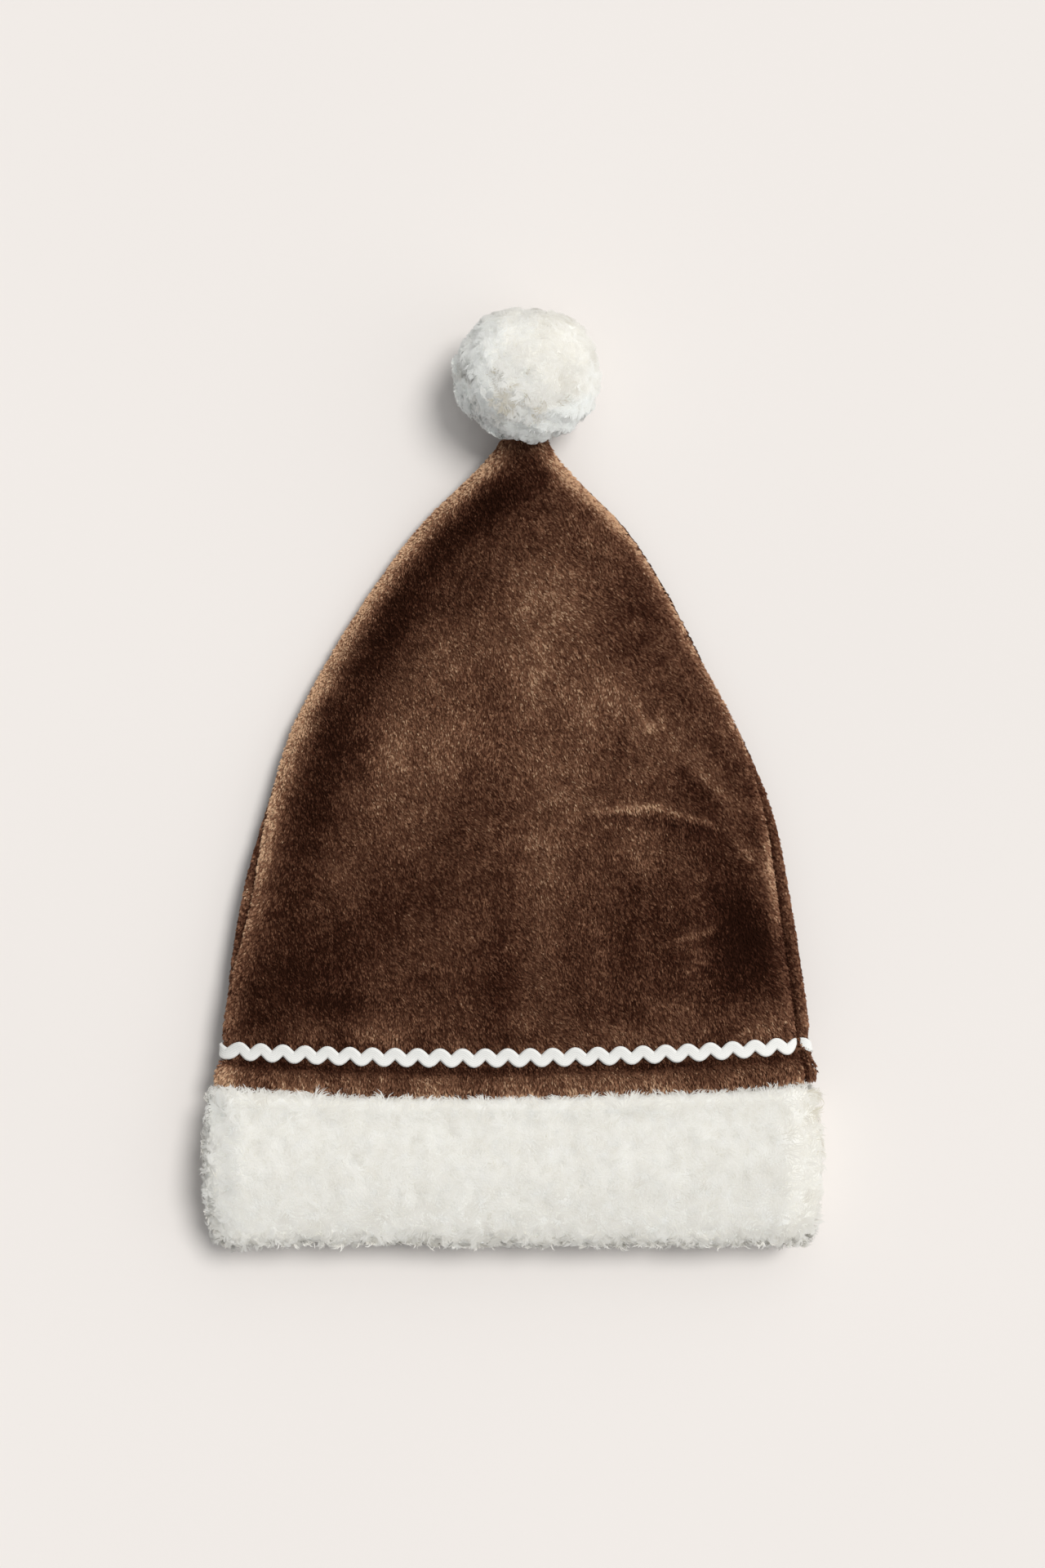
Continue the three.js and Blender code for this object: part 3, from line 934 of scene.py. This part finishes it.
def settled(grid):
    """The padding's own rest: the front sinks to the lower edge, and both ends are full."""
    x, y, z = np.moveaxis(grid, -1, 0)
    above = faded(z, STACK_HALF, 2 * STACK_HALF)
    sink = 6.0 * faded(y, -172, -217) ** 2 * above
    full = 6.0 * faded(np.abs(x), 122, 138) * above * (1 - above)
    return grid + np.stack([2.0 * full * np.sign(x), 0 * full, 1.6 * full - sink], axis=-1)


cuff_skin = settled(cuff_grid(301, 85))
compare_skin("cuff", cuff_skin[::4, ::4])

# %% [markdown]
# ## Fleece finishes
#
# The fleece is off-white; its warm, darker tints are painted shade in the crevices. The pad
# under it carries soft patches of cream with a fine bump, and scatters light under its
# surface. A map paints the pad lighter on the sides that face away from the lamp, as
# painted light for the glow of deep fleece. The curls read their own tone and their place
# along the strand from the fibre map: roots get a creamy painted shade and tips are white.
# The curls' tone holds painted light and shade too. Some light comes through them from
# behind. They cast no shadow, because thin ribbons throw hard dark ones where real fleece
# glows.

# %% Fleece pad and curl finishes
# The darkest, warm tints are painted shade in crevices; the lightest serve painted light on the sides
# away from the lamp.
FLEECE_TINTS = (
    (0.0, seen(203, 198, 185)),
    (0.12, seen(216, 214, 208)),
    (0.35, seen(227, 226, 222)),
    (0.7, seen(238, 239, 237)),
    (1.0, seen(251, 253, 252)),
)
PAD_CREAM = ((0.3, (0.9, 0.89, 0.86, 1)), (0.55, (0.955, 0.955, 0.945, 1)), (0.75, (1, 1, 1, 1)))
CURL_ROOT_SHADE = ((0.05, (0.95, 0.945, 0.93, 1)), (0.5, (0.98, 0.978, 0.972, 1)), (0.9, (1, 1, 1, 1)))
PAD_MAP = "pad_tone"
pad_finish = Finish("fleece_pad")
tint = pad_finish.ramp(pad_finish.map_parts(PAD_MAP)[0], *FLEECE_TINTS)
spot = pad_finish.places()
patch = pad_finish.noise(spot, 160.0, 3.0)
fuzz = pad_finish.noise(spot, 900.0, 3.0)
cream = pad_finish.ramp(patch, *PAD_CREAM)
shaded = pad_finish.multiplied(tint, cream)
pad_finish.grained(shaded, fuzz, (0.85, 1.0), fuzz, strength=0.6, distance=0.0006)
pad_finish.set(specular_ior_level=0.05, subsurface_weight=0.7, subsurface_scale=0.006)
pad_finish.set(subsurface_radius=(1.0, 1.0, 0.95))

curl_finish = fibre_finish("fleece_curls", FLEECE_TINTS, CURL_ROOT_SHADE, rough=(1.0, 0.8), through=0.15)
curl_finish.set(specular_ior_level=0.05, sheen_weight=0.05, sheen_roughness=0.6)
print("fleece finishes made")

# %% Curled strands
STRAND_STEPS = 3
STRAND_WIDTHS = (0.8, 1.0, 0.85)


def strands(root, normal, soft, flow, gather, length, width, tone, rise, curl):
    """Thin ribbons that leave the pad at an angle and curl over: points, faces, map, normals."""
    steps = STRAND_STEPS
    side_flow = np.cross(normal, flow)
    path = [root]
    sides = []
    for i in range(steps):
        t = (i + 0.5) / steps
        heading = swung(flow, side_flow, curl * t)
        lift = rise * (1 - 1.5 * t)
        way = swung(heading, normal, lift)
        path.append(path[-1] + way * (length / steps)[:, None] + gather / steps)
        sides.append(unit(np.cross(way, normal)))
    rows = []
    for i in range(steps):
        edge = sides[i] * (width * STRAND_WIDTHS[i] / 2)[:, None]
        rows += [path[i] - edge, path[i] + edge]
    rows.append(path[-1])
    count = len(rows)
    pattern = []
    for left in range(0, 2 * steps - 2, 2):
        pattern += [(left, left + 1, left + 3), (left, left + 3, left + 2)]
    pattern.append((count - 3, count - 2, count - 1))
    first = np.arange(len(root))[:, None, None] * count
    faces = (first + np.array(pattern)[None]).reshape(-1, 3)
    lean = np.array([-0.004, 0.004] * steps + [0.0])
    tones = np.clip(tone, 0.01, 0.99)[:, None] + lean
    along = np.broadcast_to(np.repeat(np.linspace(0.05, 0.95, steps + 1), 2)[:-1], tones.shape)
    uv = np.stack([tones, along], axis=-1).reshape(-1, 2)
    turned = [unit(soft + 0.06 * sides[min(i // 2, steps - 1)] * (-1) ** (i + 1)) for i in range(count)]
    return np.stack(rows, axis=1).reshape(-1, 3), faces, uv, np.stack(turned, axis=1).reshape(-1, 3)


def swirls(normal, angle, pull):
    """Directions that lie on the pad, turned by an angle, with a pull added first."""
    helper = np.where(np.abs(normal[:, 1:2]) < 0.8, [[0.0, 1.0, 0.0]], [[1.0, 0.0, 0.0]])
    first = unit(np.cross(helper, normal))
    second = np.cross(normal, first)
    return laid_on(swung(first, second, angle) + pull, normal)


print("a curl has", 2 * STRAND_STEPS + 1, "points")


# %% Locks and tufts of fleece
def curls(name, place, normal, soft, pull, one_in, length, width, tone, rise, wispy, seed):
    """Fleece over given places: strands curl in locks, and droop at the sides unless wispy."""
    dice = np.random.default_rng(seed)
    count = len(place)
    lock, towards = gathered(place, one_in, dice)
    locks = lock.max() + 1
    facing = np.abs(normal[:, 2])
    droop = np.stack([0 * facing, 0 * facing, -2.2 * faded(facing, 0.75, 0.35) * (1 - wispy)], axis=-1)
    angle = dice.uniform(0, 2 * math.pi, locks)[lock] + 0.25 * dice.normal(size=count)
    curl = (dice.choice([-1, 1], locks) * dice.uniform(0.8, 2.6, locks))[lock]
    curl = (curl + 0.3 * dice.normal(size=count)) * (0.35 + 0.65 * facing)
    lift = rise * dice.uniform(0.7, 1.3, locks)[lock] + 5 * dice.normal(size=count)
    lift = np.radians(np.clip(lift, 8, 80))
    tone = tone + 0.03 * dice.normal(size=locks)[lock] + 0.03 * dice.normal(size=count)
    flow = swirls(normal, angle, pull + droop)
    length = length * dice.uniform(0.75, 1.25, locks)[lock] * dice.uniform(0.8, 1.15, count)
    thick = width * dice.uniform(0.6, 1.3, count)
    gather = (0.1 + 0.7 * wispy)[:, None] * towards
    points, faces, uv, turned = strands(
        place, normal, soft, flow, gather, length, thick, tone, lift, curl
    )
    off_the_table(points, FIBRE_GAP)
    piece = new_piece(name, points, faces, curl_finish, uv, normals=turned)
    piece.visible_shadow = False
    return piece


def tufted(grid, deep, tufts, seed):
    """A grid sunk under the skin and raised again in rounded tufts of several sizes (size, height)."""
    normal = grid_normals(grid)
    raised = np.zeros(grid.shape[:-1])
    for i, (size, height) in enumerate(tufts):
        raised += height * np.minimum(np.abs(mottle(grid, size, seed + i)), 1.5)
    return grid + normal * (raised - deep)[..., None]


CUFF_TUFTS = ((9.0, 0.3), (4.0, 0.25), (2.2, 0.12))
print("the cuff's largest tufts are", CUFF_TUFTS[0][0], "mm wide")

# %% Pad of the cuff
CUFF_DEEP = 2.4
CUFF_GAP = 0.3
CORNER_DEEP = 3.2
skin_x, skin_y = cuff_skin[..., 0], cuff_skin[..., 1]
fluffy = np.maximum(faded(-skin_x, 126, 138), faded(-skin_y, 206, 215))
near_hem = faded(skin_y, -156, -148)
pad_sunk = CUFF_DEEP - 1.6 * near_hem
pad_sunk += 1.2 * near_hem * faded(skin_x, 70, 100)
pad_sunk += 2.0 * faded(skin_x, 126, 139)
pad_sunk += fluffy * (2.2 - 1.5 * np.minimum(np.abs(mottle(cuff_skin, 8.0, 47)), 1.4))
near_edges = faded(skin_y, -166, -152) + faded(-skin_y, 203, 214)
pad_sunk += CORNER_DEEP * near_edges * faded(np.abs(skin_x), 130, 141)
cuff_pad_grid = tufted(cuff_skin, pad_sunk, CUFF_TUFTS, 41)
off_the_table(cuff_pad_grid, CUFF_GAP)
cuff_pad_grid[:, -1] = cuff_pad_grid[:, 0]
cuff_pad_grid[-1] = cuff_pad_grid[0]
PAD_TONE = 0.35
PAD_PAINTED_LIGHT = 0.5


def pad_piece(name, grid, closed):
    """A pad from a grid of points, with painted light on the sides that face away from the lamp."""
    rows, columns = grid.shape[:2]
    faces = grid_faces(rows, columns, closed=closed)
    normal = grid_normals(grid)
    away = faded(-normal[..., 0], 0.1, 0.9) + faded(-normal[..., 1], 0.1, 0.9)
    tone = PAD_TONE + PAD_PAINTED_LIGHT * np.minimum(away, 1)
    share = np.broadcast_to(np.linspace(0, 1, len(grid))[:, None], tone.shape)
    spots = np.stack([tone, share], axis=-1).reshape(-1, 2)
    return new_piece(name, grid.reshape(-1, 3), faces, pad_finish, spots, PAD_MAP)


cuff_pad = pad_piece("cuff_pad", cuff_pad_grid[:-1, :-1], (True, True))
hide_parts("cuff")

# %% Curls of the cuff
STRAY_TUFTS = (-93, -81, -61, 35)
CUFF_CURL_LONG = 4.2
CUFF_CURL_WIDE = 0.42
CUFF_LOCK = 11
cuff_soft = grid_normals(cuff_pad_grid)
cuff_out = grid_normals(cuff_skin)


def cuff_curls(name, columns, count, seed):
    """Curls over some columns of the cuff's grid, on the outside and round the edges."""
    dice = np.random.default_rng(seed)
    skin, pad = cuff_skin[:, columns], cuff_pad_grid[:, columns]
    wall = np.linspace(-math.pi, math.pi, skin.shape[0] - 1)
    hidden = np.abs(wall) > math.radians(118)
    below = cuff_out[:-1, columns, 2][:, :-1] < -0.5
    weight = np.where(hidden, 0.12, 1.0)[:, None] * np.where(below, 0.3, 1.0)
    weight = weight * (1 + 2 * fluffy[:-1, columns][:, :-1])
    spots = scatter(skin, count, dice, weight)
    place = at_spots(pad, spots)
    normal = unit(at_spots(cuff_out[:, columns], spots))
    soft = unit(0.5 * at_spots(cuff_soft[:, columns], spots) + normal)
    x, y = place[:, 0], place[:, 1]
    left, right = faded(-x, 118, 138), faded(x, 112, 140)
    low, top = faded(-y, 196, 214), faded(y, -160, -151)
    standing = top * (1 - 0.6 * faded(x, 70, 100))
    stray = top * sum(bell(x, tuft, 1.8) for tuft in STRAY_TUFTS)
    pull = np.zeros((count, 3))
    pull[:, 0] = 0.5 * faded(x, 10, 110) + 2.0 * right - 0.6 * left
    pull[:, 1] = -0.5 * low + standing * (1.8 + 0.8 * mottle(place, 8, 56)) + 2.0 * stray
    length = CUFF_CURL_LONG + 1.2 * left + 0.8 * low + 1.2 * right + 1.6 * standing + 3.0 * stray
    rise = 16 + 32 * left + 26 * low + 8 * right + 8 * top
    # Painted light and shade: lighter at the left end, which lies in shade, darker at the right end,
    # which faces the lamp, and a little darker along the low and top edges.
    tone = 0.31 + 0.04 * mottle(place, 7, 54) - 0.05 * low + 0.12 * left - 0.14 * right - 0.06 * top
    width = CUFF_CURL_WIDE * (1 + 0.6 * np.maximum(left, low))
    wispy = np.maximum(left, 0.8 * low)
    return curls(name, place, normal, soft, pull, CUFF_LOCK, length, width, tone, rise, wispy, seed)


cuff_curls("cuff_curls_front", slice(71, 231), int(29000 * QUICK), 61)
cuff_curls("cuff_curls_left", slice(0, 72), int(8500 * QUICK), 62)
cuff_curls("cuff_curls_right", slice(230, 301), int(6000 * QUICK), 63)

# %% [markdown]
# ## The pompom
#
# The pompom is a ball of the same curly fleece tied into the tip. It is a lumpy core with
# longer curls in bigger tufts; the lumps give the soft valleys between the tufts.

# %% Form of the pompom
POMPOM_AT = np.array([5.5, 185.5, 29.5])
POMPOM_HALF = np.array([35.0, 32.0, 31.0])


def ball_grid(rows, columns):
    """A grid over a unit ball with its poles on the hat's long axis."""
    down, turn = np.meshgrid(
        np.linspace(0.001, math.pi - 0.001, rows), np.linspace(0, 2 * math.pi, columns), indexing="ij"
    )
    return np.stack([np.sin(down) * np.sin(turn), -np.cos(down), np.sin(down) * np.cos(turn)], axis=-1)


def in_dimple(place):
    """1 where the crown's tip meets the ball, 0 outside the dimple's rim."""
    tip = section_at(np.array(CROWN_HIGH))
    return faded(np.hypot(place[..., 0] - tip["lean"], place[..., 2] - tip["seam"]), 17, 12)


def pompom_point(ball):
    """Places on the pompom's skin, with the frame's swells and the dimple for the tip."""
    sums = [ball[..., 0] + ball[..., 1], ball[..., 1] + ball[..., 2], ball[..., 2] + ball[..., 0]]
    lump = 1 + 0.035 * np.prod([np.sin(5.5 * way) for way in sums], axis=0)
    place = POMPOM_AT + ball * POMPOM_HALF * lump[..., None]
    place[..., 2] = np.maximum(place[..., 2], 0)
    t = in_dimple(place)
    floor = HEM_Y + CROWN_HIGH + 0.4
    place[..., 1] += np.where(ball[..., 1] < 0, t * t * (3 - 2 * t) * (floor - place[..., 1]), 0)
    return place


ball_skin = pompom_point(ball_grid(97, 145))
compare_skin("pompom", ball_skin[::4, ::4])

# %% Core of the pompom
BALL_TUFTS = ((13.0, 1.1), (5.0, 0.3), (2.6, 0.12))
BALL_DEEP = 3.0
BALL_GAP = 0.4


def lower_left(normal):
    """How far a place faces the lower left, where the fleece is loosest, 0 to 1."""
    return faded(-normal[..., 0] - normal[..., 1], -0.2, 1.0)


ball_out = grid_normals(ball_skin)
ball_sunk = BALL_DEEP + 1.5 * lower_left(ball_out)
ball_core = tufted(ball_skin, ball_sunk, BALL_TUFTS, 71)
off_the_table(ball_core, BALL_GAP)
ball_core[0] = ball_core[0].mean(0)
ball_core[-1] = ball_core[-1].mean(0)
ball_core[:, -1] = ball_core[:, 0]
pompom_core = pad_piece("pompom_core", ball_core[:, :-1], (False, True))
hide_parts("pompom")

# %% Curls of the pompom
BALL_CURL_LONG = 4.4
BALL_CURL_WIDE = 0.44
BALL_LOCK = 10


def pompom_curls(name, count, seed):
    """Curls all over the ball, in bigger locks than the cuff's and loosest at the lower left."""
    dice = np.random.default_rng(seed)
    skin = ball_skin[:-1, :-1]
    open_side = (skin[..., 1] > POMPOM_AT[1] - 10) | (in_dimple(skin) < 0.02)
    leftish = faded(POMPOM_AT[0] - skin[..., 0] + POMPOM_AT[1] - skin[..., 1], 0, 40)
    spots = scatter(ball_skin, count, dice, open_side * np.where(skin[..., 2] < 12, 0.5, 1 + leftish))
    place = at_spots(ball_core, spots)
    normal = unit(at_spots(ball_out, spots))
    soft = unit(0.3 * at_spots(grid_normals(ball_core), spots) + normal)
    loose = lower_left(normal)
    length = (BALL_CURL_LONG + 1.2 * loose) * (1 - 0.35 * faded(-normal[:, 1], 0.5, 0.9))
    rise = 34 + 16 * loose
    # Painted shade in the valleys between the tufts on the lower left; painted light on the sides that
    # face left, down and to the lower right.
    valley = bell(mottle(at_spots(ball_skin, spots), 13, 71), 0, 0.35)
    facing_up = faded(normal[:, 2], 0.2, 0.7)
    tone = 0.20 + 0.04 * mottle(place, 8, 83) - 0.60 * valley * faded(loose, 0.05, 0.4) * facing_up
    tone += 0.74 * faded(-normal[:, 0], -0.1, 0.9) + 0.38 * faded(-normal[:, 1], 0.1, 0.8)
    tone += 0.05 * faded(normal[:, 0], 0.3, 0.9) + 0.44 * faded(normal[:, 0] - normal[:, 1], 0.7, 1.3)
    width = BALL_CURL_WIDE * (1 + 0.7 * loose)
    return curls(name, place, normal, soft, 0.0, BALL_LOCK, length, width, tone, rise, 0.7 * loose, seed)


pompom_curls("pompom_curls", int(29000 * QUICK), 85)

# %% [markdown]
# ## The wavy braid
#
# The braid is a narrow woven tape that waves up and down. It follows the row of the crown
# just above the cuff, so the path is measured along that row, the wave is added, and a
# ribbed tape is laid along it. It ends 0.7 mm from the side seams, a little nearer than the
# frame's plainer braid does.

# %% Braid finish
TAPE_WIDE = 5.2
TAPE_MAP = "tape"
RIBS = 6
braid_finish = Finish("white_braid")
tape = braid_finish.node("UVMap", uv_map=TAPE_MAP).outputs["UV"]
ribbed = braid_finish.node("Math", braid_finish.map_parts(TAPE_MAP)[1], operation="MULTIPLY")
ribbed.inputs[1].default_value = math.pi * RIBS / TAPE_WIDE
wave = braid_finish.node("Math", ribbed.outputs[0], operation="COSINE")
ridge = braid_finish.node("Math", wave.outputs[0], operation="ABSOLUTE")
weave = braid_finish.noise(tape, 2.2, 3.0)
mixed = braid_finish.node("Math", ridge.outputs[0], None, weave, operation="MULTIPLY_ADD")
mixed.inputs[1].default_value = 0.5
both = mixed.outputs[0]
# The tint is darker in the grooves between the ribs, partly the weave's own tone and partly painted
# shade.
tint = braid_finish.ramp(
    both, (0.3, seen(202, 203, 201)), (0.6, seen(217, 218, 215)), (0.9, seen(228, 227, 223))
)
braid_finish.grained(tint, weave, (0.6, 0.85), both, strength=0.35, distance=0.0003)
braid_finish.set(specular_ior_level=0.15)
print("braid finish with", RIBS, "ribs")

# %% Braid tapes
WAVE = 1.55
PITCH = 10.6
BRAID_END = 0.7


def braid_tape(name, is_front, steps):
    """A closed ribbed tape that waves along its row of the crown, narrowed at both ends."""
    share = np.linspace(0, 1, 1201)
    row_up = np.full_like(share, BRAID_UP)
    angles = panel_angles(is_front, row_up, share)
    line = crown_point(angles, row_up)
    run_at = np.concatenate([[0], np.cumsum(np.linalg.norm(np.diff(line, axis=0), axis=1))])
    length = run_at[-1] - 2 * BRAID_END
    waves = round(length / PITCH)
    pace = 2 * math.pi * waves / length
    stations = np.linspace(0, length, waves * steps + 1)
    run, across = np.meshgrid(stations, np.linspace(-0.5, 0.5, 13), indexing="ij")
    slope = -WAVE * pace * np.sin(pace * run)
    stretch = np.hypot(1, slope)
    ending = faded(np.minimum(run, length - run), 5, 0)
    offset = across * TAPE_WIDE * (1 - 0.35 * ending**2)
    along = np.clip(BRAID_END + run - offset * slope / stretch, 0, run_at[-1])
    up = BRAID_UP + WAVE * np.cos(pace * run) + offset / stretch
    angle = np.interp(along, run_at, angles)
    lift = 0.6 + np.abs(np.sin(angle)) ** 20
    ribs = 0.14 * np.abs(np.cos(across * math.pi * RIBS))
    edge = 1 - (2 * np.abs(across)) ** 6
    upper = crown_point(angle, up, -(lift + (0.8 + ribs) * edge + 0.15))
    lower = crown_point(angle, up, -lift)
    points, faces = closed_sheet(lower, upper)
    uv = np.stack([run.ravel(), (across * TAPE_WIDE).ravel()], axis=1)
    print(name, round(length, 1), "mm along its row,", waves, "waves")
    return new_piece(name, points, faces, braid_finish, np.vstack([uv, uv]), TAPE_MAP)


braid_front = braid_tape("front_braid", True, 18)
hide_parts("braid_front")
braid_back = braid_tape("back_braid", False, 10)
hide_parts("braid_back")
